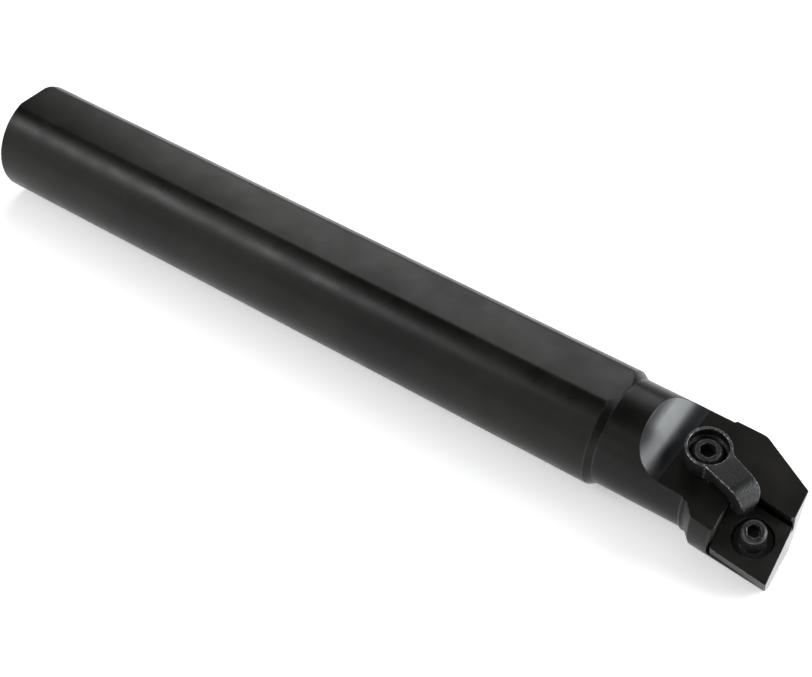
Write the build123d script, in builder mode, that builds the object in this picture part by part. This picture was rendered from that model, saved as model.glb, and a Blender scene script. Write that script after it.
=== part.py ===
"""Indexable boring bar with a 25 mm shank and a pin-and-clamp pocket for 80 degree rhombic inserts.

X runs along the bar from its back end to the head.  Z is the normal of the upper clamping flat, and
the bar rests on its lower flat.  The cutting corner lies on the -Y side.  Lengths are millimetres,
angles are degrees.
"""

import os

from build123d import *

os.makedirs("parts", exist_ok=True)

# Overall length, from the back end to the cutting edge of an insert in the pocket
bar_length = 200.0

# Shank: a round bar with two parallel clamping flats
shank_diameter = 25.0
shank_length = 158.0
flats_height = 23.0
back_chamfer = 0.4

# Neck: a slimmer stretch behind the head, joined to the shank by a conical step
neck_diameter = 23.0
step_length = 1.6

# Head: a coaxial land, and an eccentric lobe that carries the pocket out past the shank
head_length = 21.1
head_diameter = 23.8
head_step = 0.3
front_allowance = 3.0
lobe_length = 17.7
lobe_shoulder = 4.0
lobe_offset = 2.0
lobe_rear_radius = 12.1
lobe_flare = 4.5

# Far side of the head: a taper that clears the wall of the bore
taper_angle = 27.0
taper_length = 11.5
taper_width = 8.2
taper_round = 1.2

# Head top: a tilted flat with a concave run-out from the neck
head_top_length = 20.0
head_roll = 11.5
head_pitch = 3.5
head_top_height = 5.3
run_out_radius = 7.9
run_out_u = -6.7

# Insert pocket: tilted towards the cutting corner, with both cutting sides relieved by the approach
corner_setback = 0.35
corner_width = 14.48
corner_drop = 4.37
seat_roll = 22.8
seat_pitch = 4.6
insert_angle = 80.0
side_clearance = 5.0
front_setback = 0.1
rear_wall_gap = 0.1
inner_wall_gap = 0.65
wall_relief = 0.4
wall_relief_height = 0.9
corner_relief_radius = 1.0
wall_end_bevel = 0.6

# Shim: a rhombic plate a little smaller than the insert
shim_circle = 12.35
shim_thickness = 3.18
shim_corner_chamfer = 0.25
shim_hole_diameter = 6.6
shim_recess_diameter = 8.3
shim_recess_depth = 2.1

# Lock pin: threaded stem, pilot and collar in the shim, smooth post for the insert
pin_from_front = 5.75
pin_from_side = 6.4
pin_stem_diameter = 4.9
pin_stem_length = 6.4
pin_collar_gap = 0.3
pin_collar_height = 0.8
pin_post_diameter = 5.0
pin_post_height = 4.2
pin_hex = 2.5
pin_hex_depth = 2.4
pin_chamfer = 0.45

# Clamp: a round boss with a sunk screw, and an arm with a rounded nose
clamp_u = -1.85
clamp_v = -0.2
clamp_swing = -22.0
clamp_height = 4.4
clamp_seat_gap = 0.05
boss_diameter = 9.2
boss_recess_diameter = 8.0
boss_recess_depth = 2.1
boss_cone_depth = 0.9
arm_far_side = 2.8
arm_near_side = 2.3
arm_leave_angle = 47.0
arm_reach = 13.45
arm_underside = 1.4
nose_length = 3.0
nose_drop = 0.25
nose_top_round = 4.2
nose_far_round = 2.0
nose_near_round = 0.95
toe_allowance = 2.0
toe_height = 2.1
toe_far_side = 0.8
arm_root_round = 2.6

# Clamp screw: double ended, with a plain waist between its two threads
screw_diameter = 5.9
screw_top = 3.2
screw_length = 16.0
screw_waist_diameter = 4.6
screw_waist_length = 1.2
screw_hex = 3.0
screw_hex_depth = 3.0
screw_chamfer = 0.5

# Fits
bearing_gap = 0.02
thread_gap = 0.05
bore_bottom_gap = 0.6

SHANK_RADIUS = shank_diameter / 2
NECK_RADIUS = neck_diameter / 2
HEAD_RADIUS = head_diameter / 2
HALF_FLATS = flats_height / 2
HEAD_START = bar_length - head_length
LOBE_START = bar_length - lobe_length
TAPER_START = bar_length - taper_length
BLANK_LENGTH = bar_length + front_allowance
CUT = 2 * shank_diameter

# Working planes: each tilted plane has its x axis along the bar and its y axis across it
head_datum = (bar_length - head_top_length, 0, 0)
head_plane = Plane(head_datum).rotated((head_roll, head_pitch, 0)).offset(head_top_height)
seat_corner = (bar_length - corner_setback, -corner_width, -corner_drop)
seat_plane = Plane(seat_corner).rotated((seat_roll, seat_pitch, 0))
floor_plane = seat_plane.offset(-shim_thickness)


def upright(plane):
    """The plane that stands on a working plane along its x axis, with y pointing off its face."""
    return Plane(plane.origin, x_dir=plane.x_dir, z_dir=-plane.y_dir)


def turned(plane, angle):
    """A working plane turned about its own normal."""
    x_dir = plane.x_dir.rotate(Axis((0, 0, 0), plane.z_dir), angle)
    return Plane(plane.origin, x_dir=x_dir, z_dir=plane.z_dir)


def moved_to(plane, x, y):
    """A working plane with its origin moved within itself."""
    return plane.shift_origin(plane.from_local_coords((x, y, 0)))


# Directions of the two cutting sides in the seat plane, and the point a given distance from each
front_dir = Vector(1, 0).rotate(Axis.Z, 90 + side_clearance)
side_dir = Vector(1, 0).rotate(Axis.Z, 90 + side_clearance + insert_angle)


def from_edges(front_distance, side_distance):
    """The seat plane point that lies these distances inside the front and the side cutting edge."""
    corner_sine = front_dir.cross(side_dir).length
    return (side_dir * front_distance + front_dir * side_distance) * (1 / corner_sine)


pin_centre = from_edges(pin_from_front, pin_from_side)
rear_distance = shim_circle + rear_wall_gap
inner_distance = shim_circle + inner_wall_gap
screw_plane = moved_to(head_plane, clamp_u, clamp_v)
clamp_plane = turned(screw_plane, clamp_swing)
pin_plane = moved_to(seat_plane, pin_centre.X, pin_centre.Y)
front_plane = Plane(seat_corner, z_dir=turned(seat_plane, side_clearance).x_dir).offset(-front_setback)


def pocket_outline(set_back):
    """The pocket's plan corners: two walls behind the shim, open on both cutting sides."""
    corner = from_edges(rear_distance + set_back, inner_distance + set_back)
    return [
        corner,
        corner - front_dir * CUT,
        corner - front_dir * CUT - side_dir * CUT,
        corner - side_dir * CUT,
    ]


# The bar: shank, neck and head in one piece of steel
with BuildPart() as bar:
    with BuildSketch(Plane.XZ):
        with BuildLine():
            Polyline(
                (0, 0),
                (0, SHANK_RADIUS - back_chamfer),
                (back_chamfer, SHANK_RADIUS),
                (shank_length, SHANK_RADIUS),
                (shank_length + step_length, NECK_RADIUS),
                (HEAD_START, NECK_RADIUS),
                (HEAD_START + head_step, HEAD_RADIUS),
                (BLANK_LENGTH, HEAD_RADIUS),
                (BLANK_LENGTH, 0),
                close=True,
            )
        make_face()
    revolve(axis=Axis.X)

    # Eccentric lobe on the near side only: a 45 degree shoulder, then a flare to the cutting corner
    lobe_growth = (BLANK_LENGTH - LOBE_START) * Vector(1, 0).rotate(Axis.Z, lobe_flare).Y
    with BuildSketch(Plane.XZ.offset(lobe_offset)):
        with BuildLine():
            Polyline(
                (LOBE_START - lobe_shoulder, 0),
                (LOBE_START - lobe_shoulder, lobe_rear_radius - lobe_shoulder),
                (LOBE_START, lobe_rear_radius),
                (BLANK_LENGTH, lobe_rear_radius + lobe_growth),
                (BLANK_LENGTH, 0),
                close=True,
            )
        make_face()
    revolve(axis=Axis((0, -lobe_offset, 0), (1, 0, 0)), revolution_arc=180)

    # Far-side taper, rounded into the land
    taper_dir = Vector(1, 0).rotate(Axis.Z, -taper_angle)
    taper_point = Vector(TAPER_START, taper_width)
    with BuildSketch(Plane.XY.offset(-CUT / 2)):
        with BuildLine():
            Polyline(
                taper_point - taper_dir * CUT,
                taper_point + taper_dir * CUT,
                (TAPER_START + CUT, taper_width + CUT),
                close=True,
            )
        make_face()
    extrude(amount=CUT, mode=Mode.SUBTRACT)
    fillet(bar.edges().filter_by(GeomType.ELLIPSE), radius=taper_round)

    # Clamping flats, the lower one carried on under the head
    with BuildSketch(Plane.YZ.offset(-back_chamfer)):
        with Locations((0, HALF_FLATS + CUT / 2), (0, -HALF_FLATS - CUT / 2)):
            Rectangle(CUT, CUT)
    extrude(amount=BLANK_LENGTH + CUT, mode=Mode.SUBTRACT)

    # Head top and its run-out from the neck
    with BuildSketch(upright(head_plane)):
        with BuildLine():
            Polyline(
                (run_out_u - run_out_radius, run_out_radius),
                (run_out_u - run_out_radius, CUT),
                (CUT, CUT),
                (CUT, 0),
                (run_out_u, 0),
            )
            RadiusArc((run_out_u, 0), (run_out_u - run_out_radius, run_out_radius), run_out_radius)
        make_face()
    extrude(amount=CUT, both=True, mode=Mode.SUBTRACT)

    # Front face: parallel to the front flank of the shim and just behind it
    with BuildSketch(front_plane):
        Rectangle(2 * CUT, 2 * CUT)
    extrude(amount=CUT, mode=Mode.SUBTRACT)

    # Insert pocket: its walls are bevelled where they run out of the head
    with BuildSketch(floor_plane):
        with BuildLine():
            Polyline(*pocket_outline(0), close=True)
        make_face()
    extrude(amount=CUT, mode=Mode.SUBTRACT)
    for wall_end in (from_edges(front_setback, inner_distance), from_edges(rear_distance, 0)):
        wall_end_edge = bar.edges().sort_by_distance(seat_plane.from_local_coords(wall_end))[0]
        chamfer(wall_end_edge, length=wall_end_bevel)

    # A relief along the foot of both walls and in the corner
    with BuildSketch(floor_plane):
        with BuildLine():
            Polyline(*pocket_outline(wall_relief), close=True)
        make_face()
    extrude(amount=shim_thickness + wall_relief_height, mode=Mode.SUBTRACT)
    pocket_corner = from_edges(rear_distance, inner_distance)
    with BuildSketch(moved_to(floor_plane, pocket_corner.X, pocket_corner.Y)):
        Circle(corner_relief_radius)
    extrude(amount=CUT, mode=Mode.SUBTRACT)

    # Blind threaded bores for the lock pin and the clamp screw
    stem_end = shim_recess_depth + pin_stem_length
    with BuildSketch(pin_plane.offset(-stem_end - bore_bottom_gap)):
        Circle(pin_stem_diameter / 2 + thread_gap)
    extrude(amount=stem_end, mode=Mode.SUBTRACT)
    with BuildSketch(screw_plane.offset(screw_top - screw_length - bore_bottom_gap)):
        Circle(screw_diameter / 2 + thread_gap)
    extrude(amount=screw_length, mode=Mode.SUBTRACT)
bar.part.label = "bar"
export_step(bar.part, "parts/bar.step")

# The shim: a hard seat for the insert, recessed round the lock pin
with BuildPart() as shim:
    shim_side = shim_circle / front_dir.cross(side_dir).length
    with BuildSketch(floor_plane) as shim_plan:
        with BuildLine():
            Polyline(
                (0, 0),
                side_dir * shim_side,
                side_dir * shim_side + front_dir * shim_side,
                front_dir * shim_side,
                close=True,
            )
        make_face()
        chamfer(shim_plan.vertices(), length=shim_corner_chamfer)
    extrude(amount=shim_thickness)
    with BuildSketch(pin_plane):
        Circle(shim_hole_diameter / 2)
    extrude(amount=-shim_thickness, mode=Mode.SUBTRACT)
    with BuildSketch(pin_plane):
        Circle(shim_recess_diameter / 2)
    extrude(amount=-shim_recess_depth, mode=Mode.SUBTRACT)
shim.part.label = "shim"
export_step(shim.part, "parts/shim.step")

# The lock pin: threaded stem, collar that holds the shim down, post for the insert
with BuildPart() as lock_pin:
    with BuildSketch(upright(pin_plane)):
        with BuildLine():
            collar_foot = bearing_gap - shim_recess_depth
            collar_radius = shim_recess_diameter / 2 - pin_collar_gap
            Polyline(
                (0, -stem_end),
                (pin_stem_diameter / 2 - pin_chamfer, -stem_end),
                (pin_stem_diameter / 2, pin_chamfer - stem_end),
                (pin_stem_diameter / 2, collar_foot),
                (collar_radius, collar_foot),
                (collar_radius, collar_foot + pin_collar_height),
                (pin_post_diameter / 2, collar_foot + pin_collar_height),
                (pin_post_diameter / 2, pin_post_height - pin_chamfer),
                (pin_post_diameter / 2 - pin_chamfer, pin_post_height),
                (0, pin_post_height),
                close=True,
            )
        make_face()
    revolve(axis=Axis(pin_plane.origin, pin_plane.z_dir))
    with BuildSketch(pin_plane.offset(pin_post_height)):
        RegularPolygon(radius=pin_hex / 2, side_count=6, major_radius=False)
    extrude(amount=-pin_hex_depth, mode=Mode.SUBTRACT)
lock_pin.part.label = "lock_pin"
export_step(lock_pin.part, "parts/lock_pin.step")

# The clamp: a boss round the screw, and an arm whose nose reaches over the pocket
with BuildPart() as clamp:
    boss_radius = boss_diameter / 2
    with BuildSketch(clamp_plane.offset(-toe_allowance)) as clamp_plan:
        with BuildLine():
            Polyline(
                (0, arm_far_side),
                (arm_reach, arm_far_side),
                (arm_reach, -arm_near_side),
                Vector(boss_radius, 0).rotate(Axis.Z, -arm_leave_angle),
                (0, 0),
                close=True,
            )
        make_face()
        fillet(clamp_plan.vertices().sort_by_distance((arm_reach, arm_far_side))[0], radius=nose_far_round)
        fillet(clamp_plan.vertices().sort_by_distance((arm_reach, -arm_near_side))[0], radius=nose_near_round)
        Circle(boss_radius)
        fillet(clamp_plan.vertices().sort_by_distance((boss_radius, arm_far_side))[0], radius=arm_root_round)
    extrude(amount=clamp_height + toe_allowance)

    # Side profile: raised underside, a toe that reaches down to the insert, rounded top
    toe_start = arm_reach - nose_length
    with BuildSketch(upright(clamp_plane)):
        with BuildLine():
            Polyline(
                (arm_reach - nose_top_round, clamp_height),
                (-CUT, clamp_height),
                (-CUT, clamp_seat_gap),
                (boss_radius, clamp_seat_gap),
                (boss_radius, arm_underside),
                (toe_start - arm_underside, arm_underside),
                (toe_start, nose_drop),
                (toe_start, -toe_allowance),
                (arm_reach, -toe_allowance),
                (arm_reach, clamp_height - nose_top_round),
            )
            RadiusArc(
                (arm_reach, clamp_height - nose_top_round),
                (arm_reach - nose_top_round, clamp_height),
                -nose_top_round,
            )
        make_face()
    extrude(amount=CUT, both=True, mode=Mode.INTERSECT)

    # The toe is narrower than the nose: its far side is cut back to clear the pocket wall
    with BuildSketch(clamp_plane.offset(nose_drop)):
        with Locations((toe_start, toe_far_side)):
            Rectangle(CUT, CUT, align=(Align.MIN, Align.MIN))
    extrude(amount=-CUT, mode=Mode.SUBTRACT)

    # The underside of the toe is parallel to the seat, to lie flat on an insert
    with BuildSketch(seat_plane.offset(toe_height)):
        with BuildLine():
            Polyline(*pocket_outline(0), close=True)
        make_face()
    extrude(amount=-CUT, mode=Mode.SUBTRACT)

    # Recess and bore for the screw
    with BuildSketch(upright(clamp_plane)):
        with BuildLine():
            clamp_bore = screw_diameter / 2 + thread_gap
            recess_floor = clamp_height - boss_recess_depth
            Polyline(
                (0, -CUT),
                (clamp_bore, -CUT),
                (clamp_bore, recess_floor - boss_cone_depth),
                (boss_recess_diameter / 2, recess_floor),
                (boss_recess_diameter / 2, CUT),
                (0, CUT),
                close=True,
            )
        make_face()
    revolve(axis=Axis(clamp_plane.origin, clamp_plane.z_dir), mode=Mode.SUBTRACT)
clamp.part.label = "clamp"
export_step(clamp.part, "parts/clamp.step")

# The clamp screw: a stud threaded at both ends, driven from its upper end
with BuildPart() as clamp_screw:
    screw_radius = screw_diameter / 2
    screw_bottom = screw_top - screw_length
    waist_top = -clamp_seat_gap
    waist_radius = screw_waist_diameter / 2
    waist_run = screw_radius - waist_radius
    with BuildSketch(upright(screw_plane)):
        with BuildLine():
            Polyline(
                (0, screw_bottom),
                (screw_radius - screw_chamfer, screw_bottom),
                (screw_radius, screw_bottom + screw_chamfer),
                (screw_radius, waist_top - screw_waist_length - waist_run),
                (waist_radius, waist_top - screw_waist_length),
                (waist_radius, waist_top - waist_run),
                (screw_radius, waist_top),
                (screw_radius, screw_top - screw_chamfer),
                (screw_radius - screw_chamfer, screw_top),
                (0, screw_top),
                close=True,
            )
        make_face()
    revolve(axis=Axis(screw_plane.origin, screw_plane.z_dir))
    with BuildSketch(screw_plane.offset(screw_top)):
        RegularPolygon(radius=screw_hex / 2, side_count=6, major_radius=False)
    extrude(amount=-screw_hex_depth, mode=Mode.SUBTRACT)
clamp_screw.part.label = "clamp_screw"
export_step(clamp_screw.part, "parts/clamp_screw.step")
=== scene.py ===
# %% [markdown]
# A boring bar reaches into a hole and turns it larger on a lathe. This one is a blackened steel bar
# with a bare insert pocket at its end. The CAD model comes first and stays as it is: everything here
# is light, finish and fine detail on top of it.

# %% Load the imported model
import math

import bmesh
import bpy
from mathutils import Matrix, Vector


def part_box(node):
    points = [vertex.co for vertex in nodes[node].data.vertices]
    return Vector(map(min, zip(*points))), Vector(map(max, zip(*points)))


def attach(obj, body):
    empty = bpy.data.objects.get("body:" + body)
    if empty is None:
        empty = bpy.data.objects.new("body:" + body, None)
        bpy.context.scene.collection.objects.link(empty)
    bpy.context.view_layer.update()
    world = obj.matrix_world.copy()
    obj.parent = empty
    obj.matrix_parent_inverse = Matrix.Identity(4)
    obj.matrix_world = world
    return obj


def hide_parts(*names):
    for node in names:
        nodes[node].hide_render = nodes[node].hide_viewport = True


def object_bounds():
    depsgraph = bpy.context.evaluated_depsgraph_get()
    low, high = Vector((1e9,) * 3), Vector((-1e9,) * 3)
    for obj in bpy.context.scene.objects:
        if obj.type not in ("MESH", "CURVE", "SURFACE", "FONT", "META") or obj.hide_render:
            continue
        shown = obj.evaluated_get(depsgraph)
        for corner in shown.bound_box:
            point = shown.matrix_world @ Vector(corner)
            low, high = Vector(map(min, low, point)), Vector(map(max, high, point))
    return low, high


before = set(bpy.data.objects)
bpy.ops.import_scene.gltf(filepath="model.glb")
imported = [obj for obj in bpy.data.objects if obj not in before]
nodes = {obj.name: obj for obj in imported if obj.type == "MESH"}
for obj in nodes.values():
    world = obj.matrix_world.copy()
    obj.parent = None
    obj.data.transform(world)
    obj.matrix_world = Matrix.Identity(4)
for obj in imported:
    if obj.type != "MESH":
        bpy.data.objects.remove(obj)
cad_low, cad_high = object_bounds()
MM_PER_M = 1000


def in_mm(corners):
    """Coordinates in metres as rounded millimetres, for printing."""
    return [round(v * MM_PER_M, 1) for v in corners]


print("nodes:", sorted(nodes))
print("CAD box:", in_mm((*cad_low, *cad_high)), "mm")

# %% [markdown]
# The camera looks down at about 43 degrees from beyond the head, a little to the cutting side, with a
# long lens. It could be aimed with a constraint, but its axes are written out instead, because a matrix
# made of them can't tip over, and they say exactly where the view is from.

# %% Camera
scene = bpy.context.scene
lens_data = bpy.data.cameras.new("camera")
lens_data.sensor_width = 36.0
lens_data.lens = 78.03
lens_data.clip_start = 0.01
camera = bpy.data.objects.new("camera", lens_data)
camera_right = Vector((0.811902, 0.582883, 0.032589))
camera_up = Vector((-0.415064, 0.537089, 0.734341))
camera_back = camera_right.cross(camera_up)
turn = Matrix((camera_right, camera_up, camera_back)).transposed()
camera.matrix_world = Matrix.Translation((0.26070, -0.228354, 0.249204)) @ turn.to_4x4()
scene.collection.objects.link(camera)
scene.camera = camera
scene.view_settings.view_transform = "Standard"
print("camera height above the axis:", round(camera.location.z * MM_PER_M), "mm")

# %% [markdown]
# Three small helpers serve every piece and finish that follows. A mesh is always made in a bmesh,
# turned into a mesh block, and linked as an object that stays at the origin, so that its place is in
# its points, like that of the CAD solids.

# %% Helpers for objects and materials
def link(name, mesh):
    """Puts a finished mesh into the scene as an object at the origin."""
    piece = bpy.data.objects.new(name, mesh)
    scene.collection.objects.link(piece)
    return piece


def mesh_from(name, bm):
    """Turns a bmesh into a mesh block and frees it."""
    mesh = bpy.data.meshes.new(name)
    bm.to_mesh(mesh)
    bm.free()
    return mesh


def new_material(name):
    """An empty node material, its tree, and its output node."""
    material = bpy.data.materials.new(name)
    material.use_nodes = True
    tree = material.node_tree
    tree.nodes.clear()
    return material, tree, tree.nodes.new("ShaderNodeOutputMaterial")


print("helpers ready")

# %% [markdown]
# The floor is one plain pale sheet, far wider than the view. Its colour does most of the work: the
# lamps bring it close to white, and a weak glow, for straight looks and for reflections alone, takes
# it the rest of the way. The glow is kept weak so that the bar's own soft shadow stays.

# %% Floor
FLOOR_GAP = 0.00001
FLOOR_HALF_WIDTH = 3.0
FLOOR_GLOW = 0.46
BAR_MIDDLE = (0.1, 0, 0)

floor_height = cad_low.z - FLOOR_GAP
bm = bmesh.new()
bmesh.ops.create_grid(bm, x_segments=1, y_segments=1, size=FLOOR_HALF_WIDTH)
bmesh.ops.translate(bm, verts=bm.verts, vec=(BAR_MIDDLE[0], BAR_MIDDLE[1], floor_height))
floor = link("floor", mesh_from("floor", bm))
print("floor at", round(floor_height * MM_PER_M, 2), "mm")

# %% Floor material
pale_floor, tree, out = new_material("pale_floor")
paper = tree.nodes.new("ShaderNodeBsdfDiffuse")
paper.inputs["Color"].default_value = (0.86, 0.86, 0.86, 1)
glow = tree.nodes.new("ShaderNodeEmission")
glow.inputs["Strength"].default_value = FLOOR_GLOW
rays = tree.nodes.new("ShaderNodeLightPath")
seen = tree.nodes.new("ShaderNodeMath")
seen.operation = "MAXIMUM"
tree.links.new(rays.outputs["Is Camera Ray"], seen.inputs[0])
tree.links.new(rays.outputs["Is Glossy Ray"], seen.inputs[1])
glowing = tree.nodes.new("ShaderNodeAddShader")
mixed = tree.nodes.new("ShaderNodeMixShader")
tree.links.new(paper.outputs[0], glowing.inputs[0])
tree.links.new(glow.outputs[0], glowing.inputs[1])
tree.links.new(seen.outputs[0], mixed.inputs[0])
tree.links.new(paper.outputs[0], mixed.inputs[1])
tree.links.new(glowing.outputs[0], mixed.inputs[2])
tree.links.new(mixed.outputs[0], out.inputs["Surface"])
pale_floor.cycles.emission_sampling = "NONE"
floor.data.materials.append(pale_floor)
print("floor glow:", FLOOR_GLOW)

# %% [markdown]
# Black steel shows what stands round it more than its own colour, so the studio is built like one
# for glossware: white at the horizon, dark overhead, and a few softboxes in chosen places. The world
# does the first two with a gradient over height, made by one map range on the view's direction.

# %% World
HORIZON_STRENGTH = 0.9
CEILING_STRENGTH = 0.03
FADE_START = 0.08
FADE_END = 0.34

world = bpy.data.worlds.new("studio")
scene.world = world
world.use_nodes = True
tree = world.node_tree
tree.nodes.clear()
out = tree.nodes.new("ShaderNodeOutputWorld")
sky = tree.nodes.new("ShaderNodeBackground")
direction = tree.nodes.new("ShaderNodeTexCoord")
split = tree.nodes.new("ShaderNodeSeparateXYZ")
fade = tree.nodes.new("ShaderNodeMapRange")
fade.inputs["From Min"].default_value = FADE_START
fade.inputs["From Max"].default_value = FADE_END
fade.inputs["To Min"].default_value = HORIZON_STRENGTH
fade.inputs["To Max"].default_value = CEILING_STRENGTH
fade.interpolation_type = "SMOOTHSTEP"
tree.links.new(direction.outputs["Generated"], split.inputs[0])
tree.links.new(split.outputs["Z"], fade.inputs["Value"])
tree.links.new(fade.outputs["Result"], sky.inputs["Strength"])
tree.links.new(sky.outputs[0], out.inputs["Surface"])
print("world:", HORIZON_STRENGTH, "at the horizon,", CEILING_STRENGTH, "overhead")

# %% [markdown]
# Each softbox has one job. The one behind the bar lights the clamping flat, and the one beyond the
# head lights the run-out and the step. The narrow one on the near side draws the streak down the
# shank, and the low wide one fills the grey below it. The fill hangs overhead for the floor and for
# plain colour, and is kept out of reflections, because a ceiling light would wash out the black top
# of the head.

# %% Softboxes
SOFTBOX_DISTANCE = 1.5
WHITE = (1, 1, 1)
COOL_WHITE = (0.94, 0.98, 1.0)


def softbox(name, towards, width, height, watts, colour=WHITE):
    """A soft rectangular lamp in a direction seen from the middle of the bar, facing it."""
    lamp = bpy.data.lights.new(name, "AREA")
    lamp.shape = "RECTANGLE"
    lamp.size = width
    lamp.size_y = height
    lamp.energy = watts
    lamp.color = colour
    box = bpy.data.objects.new(name, lamp)
    away = Vector(towards).normalized()
    box.location = Vector(BAR_MIDDLE) + away * SOFTBOX_DISTANCE
    box.rotation_euler = away.to_track_quat("Z", "Y").to_euler()
    scene.collection.objects.link(box)
    brightness = watts / (math.pi * width * height)
    print(name, "at", [round(v, 2) for v in box.location], "shining", round(brightness, 2))
    return box


softbox("back_softbox", (-0.36, 0.64, 0.64), 0.8, 0.9, 7.0)
softbox("head_softbox", (0.76, 0.44, 0.42), 1.0, 1.3, 26, COOL_WHITE)
softbox("near_softbox", (-0.56, -0.54, 0.62), 0.7, 0.26, 7.0)
softbox("low_near_softbox", (-0.42, -0.86, 0.34), 1.6, 0.6, 3.2)
fill = softbox("overhead_fill", (0.0, -0.05, 1.0), 1.5, 1.5, 7)
fill.visible_glossy = False

# %% [markdown]
# The tool is blackened steel: a thin oxide skin over ground, turned, milled or cast metal. The skin
# is nearly colourless and glosses like hard varnish, so a plain dielectric with a low index stands
# for it. Noise gives it the clouds, the uneven gloss and the fine grain. Painting those would need an
# image file and an unwrapped mesh, and noise in space needs neither.

# %% Noise helpers
def noise(tree, coords, scale, detail=4.0, rough=0.55):
    """A noise value around 0.5 in the piece's own space."""
    node = tree.nodes.new("ShaderNodeTexNoise")
    node.inputs["Scale"].default_value = scale
    node.inputs["Detail"].default_value = detail
    node.inputs["Roughness"].default_value = rough
    tree.links.new(coords, node.inputs["Vector"])
    return node.outputs["Fac"]


def spread(tree, value, low, high, out_low, out_high):
    """Stretches the part of a value between low and high over a new range."""
    node = tree.nodes.new("ShaderNodeMapRange")
    node.inputs["From Min"].default_value = low
    node.inputs["From Max"].default_value = high
    node.inputs["To Min"].default_value = out_low
    node.inputs["To Max"].default_value = out_high
    tree.links.new(value, node.inputs["Value"])
    return node.outputs["Result"]


def blend(tree, share, dark, light):
    """A colour between two, by a share from 0 to 1."""
    node = tree.nodes.new("ShaderNodeMix")
    node.data_type = "RGBA"
    node.inputs["A"].default_value = (*dark, 1)
    node.inputs["B"].default_value = (*light, 1)
    tree.links.new(share, node.inputs["Factor"])
    return node.outputs["Result"]


def grained(tree, shader, coords, stretch, scale, depth, strength):
    """Bumps the surface with a fine grain, drawn out along an axis by a stretch."""
    mapping = tree.nodes.new("ShaderNodeMapping")
    mapping.inputs["Scale"].default_value = stretch
    tree.links.new(coords, mapping.inputs["Vector"])
    bumps = tree.nodes.new("ShaderNodeBump")
    bumps.inputs["Strength"].default_value = strength
    bumps.inputs["Distance"].default_value = depth
    tree.links.new(noise(tree, mapping.outputs["Vector"], scale, 3.0), bumps.inputs["Height"])
    tree.links.new(bumps.outputs["Normal"], shader.inputs["Normal"])


print("noise helpers ready")

# %% Blackened steel
ALL_ROUND = (1, 1, 1)
ALONG_THE_BAR = (1, 8, 8)


def blackened(name, tones, gloss, grain, ior, stretch=ALL_ROUND, cloud=45.0):
    """Oxide skin. Tones are dark and light, gloss a roughness range, grain its scale, depth, strength."""
    material, tree, out = new_material(name)
    shader = tree.nodes.new("ShaderNodeBsdfPrincipled")
    shader.inputs["IOR"].default_value = ior
    coords = tree.nodes.new("ShaderNodeTexCoord").outputs["Object"]
    clouds = spread(tree, noise(tree, coords, cloud, 5.0, 0.6), 0.36, 0.66, 0, 1)
    tree.links.new(blend(tree, clouds, *tones), shader.inputs["Base Color"])
    shine = spread(tree, noise(tree, coords, 160.0, 6.0), 0.3, 0.7, *gloss)
    tree.links.new(shine, shader.inputs["Roughness"])
    grained(tree, shader, coords, stretch, *grain)
    tree.links.new(shader.outputs[0], out.inputs["Surface"])
    return material


oxide = blackened(
    "black_oxide", ((0.0040, 0.0038, 0.0033), (0.0125, 0.0118, 0.0100)),
    (0.26, 0.38), (1100, 0.000004, 0.2), 1.28,
)
# The front faces' skin has a glossier ground finish, and a lighter colour that is a painted reflection of
# the white surroundings a grazing look catches there.
ground_front_painted_reflection = blackened(
    "ground_front_painted_reflection", ((0.030, 0.030, 0.029), (0.055, 0.054, 0.052)),
    (0.10, 0.16), (1100, 0.00001, 0.2), 1.7,
)
milled = blackened(
    "milled_run_out", ((0.006, 0.0065, 0.0072), (0.012, 0.013, 0.0145)),
    (0.26, 0.36), (700, 0.00001, 0.25), 1.62, ALONG_THE_BAR,
)
carbide = blackened(
    "sintered_carbide", ((0.009, 0.0086, 0.0075), (0.018, 0.017, 0.015)),
    (0.36, 0.48), (3200, 0.00001, 0.5), 1.38,
)
pin_skin = blackened(
    "turned_pin", ((0.012, 0.012, 0.012), (0.022, 0.022, 0.022)),
    (0.3, 0.42), (2200, 0.00001, 0.4), 1.45,
)
cast_skin = blackened(
    "cast_clamp", ((0.004, 0.004, 0.0038), (0.010, 0.010, 0.010)),
    (0.30, 0.42), (3000, 0.00010, 0.7), 1.58, ALL_ROUND, 420.0,
)
screw_skin = blackened(
    "turned_screw", ((0.010, 0.010, 0.010), (0.020, 0.020, 0.020)),
    (0.26, 0.38), (2200, 0.00001, 0.4), 1.45,
)
print("skins:", sorted(m.name for m in bpy.data.materials))

# %% [markdown]
# Where an edge has been handled, the skin wears through to steel in specks. A threshold on a fine
# noise makes the specks, and the same value turns the colour to steel's and the surface metallic, so
# that they glint as bare metal does.

# %% Worn steel
def worn(name, skin, steel, low, high, speck=1400.0):
    """Skin with specks of bare steel, which grow more as low and high come down."""
    material, tree, out = new_material(name)
    shader = tree.nodes.new("ShaderNodeBsdfPrincipled")
    shader.inputs["IOR"].default_value = 1.45
    shader.inputs["Roughness"].default_value = 0.38
    coords = tree.nodes.new("ShaderNodeTexCoord").outputs["Object"]
    specks = spread(tree, noise(tree, coords, speck, 6.0, 0.65), low, high, 0, 1)
    tree.links.new(blend(tree, specks, skin, steel), shader.inputs["Base Color"])
    tree.links.new(specks, shader.inputs["Metallic"])
    grained(tree, shader, coords, ALL_ROUND, 2500.0, 0.00002, 0.4)
    tree.links.new(shader.outputs[0], out.inputs["Surface"])
    return material


bare_wall = worn("bare_pocket_wall", (0.03, 0.03, 0.03), (0.30, 0.29, 0.28), 0.34, 0.48, 500.0)
print("finishes:", sorted(m.name for m in bpy.data.materials))

# %% [markdown]
# A machined edge is never a knife edge. The steel is broken by a file or by tumbling, and that thin
# round is what catches the light and wears first. The CAD solids end in sharp edges, so each piece is
# a merged copy of its solid with those edges bevelled. A Bevel modifier could do that too, but the
# operator hands back its new faces, and those get the worn finish.

# %% Broken edges
SKIN, WORN = 0, 1

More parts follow.
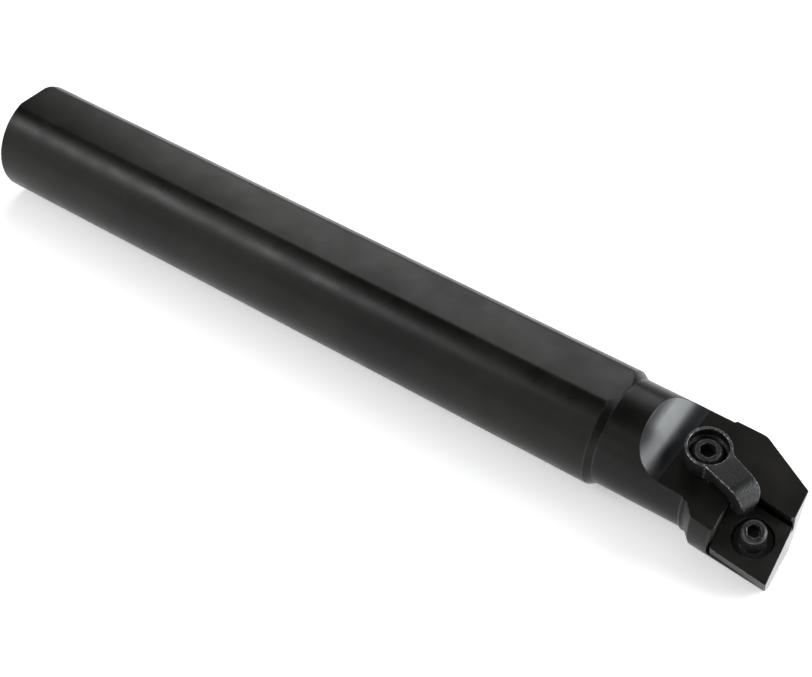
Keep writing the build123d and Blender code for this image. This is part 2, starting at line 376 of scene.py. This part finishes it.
# In degrees: what counts as a sharp edge, and what as one plane
SHARP = 30.0
SHARP_ON_SMALL_PIECES = 26.0
SAME_PLANE = 0.3


def broken(name, width, least_angle):
    """A copy of a CAD node with its sharper edges bevelled, the new faces, and how many edges."""
    bm = bmesh.new()
    bm.from_mesh(nodes[name].data)
    bmesh.ops.remove_doubles(bm, verts=bm.verts, dist=1e-6)
    bmesh.ops.dissolve_limit(
        bm, angle_limit=math.radians(SAME_PLANE), verts=bm.verts, edges=bm.edges,
        use_dissolve_boundaries=False,
    )
    edges = [
        e for e in bm.edges
        if e.is_manifold and math.degrees(e.calc_face_angle()) > least_angle
    ]
    for face in bm.faces:
        face.material_index = SKIN
    made = bmesh.ops.bevel(
        bm, geom=edges, offset=width, offset_type="OFFSET", segments=2, profile=0.5,
        affect="EDGES", clamp_overlap=False, material=-1,
    )
    return bm, made["faces"], len(edges)


print("edge tool ready")

# %% [markdown]
# Dressing ends every piece. Soft shading runs over the bevels and stops at what is still a crease,
# and a Weighted Normal modifier keeps the large flats flat. A bevel can throw a corner a few
# hundredths of a millimetre too far, so each point is held inside its own solid's box.

# %% Dressing a piece
CREASE = 18
CREASE_AT_BEVEL = 50


def dress(name, bm, edge_faces, finishes, body, slot, low, high):
    """Worn edges, smooth shading, finishes and body for a bevelled copy held in a box; slot is not used.
    """
    for face in edge_faces:
        if face.material_index == SKIN:
            face.material_index = WORN
    for face in bm.faces:
        face.smooth = True
    rounded = {face for face in edge_faces if face.is_valid}
    for edge in bm.edges:
        beside_bevel = any(face in rounded for face in edge.link_faces)
        crease = CREASE_AT_BEVEL if beside_bevel else CREASE
        edge.smooth = not (edge.is_manifold and math.degrees(edge.calc_face_angle()) > crease)
    for vert in bm.verts:
        vert.co = [min(max(v, a), b) for v, a, b in zip(vert.co, low, high)]
    bmesh.ops.triangulate(bm, faces=[f for f in bm.faces if len(f.verts) > 4])
    piece = link(name, mesh_from(name, bm))
    for material in finishes:
        piece.data.materials.append(material)
    even = piece.modifiers.new("even_shading", "WEIGHTED_NORMAL")
    even.keep_sharp = True
    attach(piece, body)
    return piece


print("dressing ready")

# %% [markdown]
# The bar is one turned and milled piece of steel. Three of its surfaces differ from the rest: the
# run-out, where a ball-nosed cutter left a smooth, brighter hollow behind the head's top, the
# pocket's back wall, where the insert's edge has rubbed the skin off, and the ground front face, whose
# lighter colour is partly a painted reflection of the white surroundings. They are found by where they
# face and where they lie, so a small change of size doesn't lose them.

# %% Faces by place
FORWARD = (1, 0, 0)
RUN_OUT_BOX = (164, -12, 3), (174.5, 12, 12)
BACK_WALL_BOX = (184, -12.8, -8), (190, -1.5, 3)
FRONT_BOX = (196, -16, -12), (201, 13, 12)


def faces_in(bm, low, high, facing, at_least):
    """Faces whose middle lies in a box, in mm, and whose normal leans towards a direction."""
    found = []
    for face in bm.faces:
        middle = face.calc_center_median() * MM_PER_M
        inside = all(a <= v <= b for a, v, b in zip(low, middle, high))
        if inside and face.normal.dot(Vector(facing)) >= at_least:
            found.append(face)
    return found


def finish_faces(faces, index, kept=()):
    """Gives faces a finish of the piece by its place in the list, except those to be kept."""
    changed = [face for face in faces if face not in kept]
    for face in changed:
        face.material_index = index
    return len(changed)


print("face boxes, in mm:", RUN_OUT_BOX, BACK_WALL_BOX, FRONT_BOX)

# %% The bar
BAR_BREAK = 0.00014
MILLED, BARE, BAR_FRONT = 2, 3, 4

bm, edge_faces, count = broken("bar", BAR_BREAK, SHARP)
edge_set = set(edge_faces)
in_run_out = finish_faces(faces_in(bm, *RUN_OUT_BOX, FORWARD, 0.115), MILLED, edge_set)
on_back_wall = finish_faces(faces_in(bm, *BACK_WALL_BOX, FORWARD, 0.4), BARE)
# The bar's front face takes the lighter skin with the painted reflection.
on_front = finish_faces(faces_in(bm, *FRONT_BOX, FORWARD, 0.85), BAR_FRONT, edge_set)
edge_wear = worn("bar_edge", (0.006, 0.006, 0.0055), (0.08, 0.08, 0.077), 0.57, 0.72)
bar_finishes = (oxide, edge_wear, milled, bare_wall, ground_front_painted_reflection)
bar = dress("turned_bar", bm, edge_faces, bar_finishes, "base", "bar_steel", *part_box("bar"))
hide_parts("bar")
print("bar:", count, "edges broken;", in_run_out, "faces in the run-out,", on_back_wall,
      "on the back wall,", on_front, "on the front")

# %% [markdown]
# The shim is sintered carbide: harder than the bar, ground flat, a shade greyer and more matt. Its
# rim and the rim of its recess are only just broken, since carbide chips where steel would bend.

# %% The shim
SHIM_BREAK = 0.00008
SHIM_FRONT = 2

bm, edge_faces, count = broken("shim", SHIM_BREAK, SHARP)
# The shim's front flank takes the same lighter skin with the painted reflection.
on_flank = finish_faces(faces_in(bm, *FRONT_BOX, FORWARD, 0.85), SHIM_FRONT, set(edge_faces))
shim_wear = worn("shim_edge", (0.015, 0.015, 0.014), (0.16, 0.155, 0.145), 0.44, 0.6)
shim_finishes = (carbide, shim_wear, ground_front_painted_reflection)
shim = dress("ground_shim", bm, edge_faces, shim_finishes, "base", "shim_carbide", *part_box("shim"))
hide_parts("shim")
print("shim:", count, "edges broken,", on_flank, "faces on the front flank")

# %% [markdown]
# The clamp is cast and then tumbled, so it has the softest edges of all, with the skin rubbed to
# specks of metal all along them, and a coarser grain than the turned pieces.

# %% The clamp
CLAMP_BREAK = 0.00022

bm, edge_faces, count = broken("clamp", CLAMP_BREAK, SHARP_ON_SMALL_PIECES)
clamp_wear = worn("clamp_edge", (0.03, 0.03, 0.03), (0.30, 0.30, 0.295), 0.47, 0.6, 1800.0)
clamp_finishes = (cast_skin, clamp_wear)
clamp = dress("cast_clamp", bm, edge_faces, clamp_finishes, "finger", "clamp_steel", *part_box("clamp"))
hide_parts("clamp")
print("clamp:", count, "edges broken")

# %% [markdown]
# The lock pin and the clamp screw are small parts of tougher steel. They are turned, so their rims are
# clean rounds, a little polished by the key.

# %% Lock pin
PIN_BREAK = 0.00021

bm, edge_faces, count = broken("lock_pin", PIN_BREAK, SHARP_ON_SMALL_PIECES)
pin_wear = worn("pin_edge", (0.014, 0.014, 0.014), (0.14, 0.14, 0.138), 0.45, 0.66)
pin_finishes = (pin_skin, pin_wear)
pin = dress("lock_post", bm, edge_faces, pin_finishes, "pin", "pin_steel", *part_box("lock_pin"))
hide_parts("lock_pin")
print("lock pin:", count, "edges broken")

# %% Clamp screw
SCREW_BREAK = 0.00020

bm, edge_faces, count = broken("clamp_screw", SCREW_BREAK, SHARP_ON_SMALL_PIECES)
screw_wear = worn("screw_edge", (0.014, 0.014, 0.014), (0.14, 0.14, 0.138), 0.45, 0.66)
screw_finishes = (screw_skin, screw_wear)
screw = dress(
    "socket_screw", bm, edge_faces, screw_finishes, "screw", "screw_steel", *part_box("clamp_screw")
)
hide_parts("clamp_screw")
print("clamp screw:", count, "edges broken")
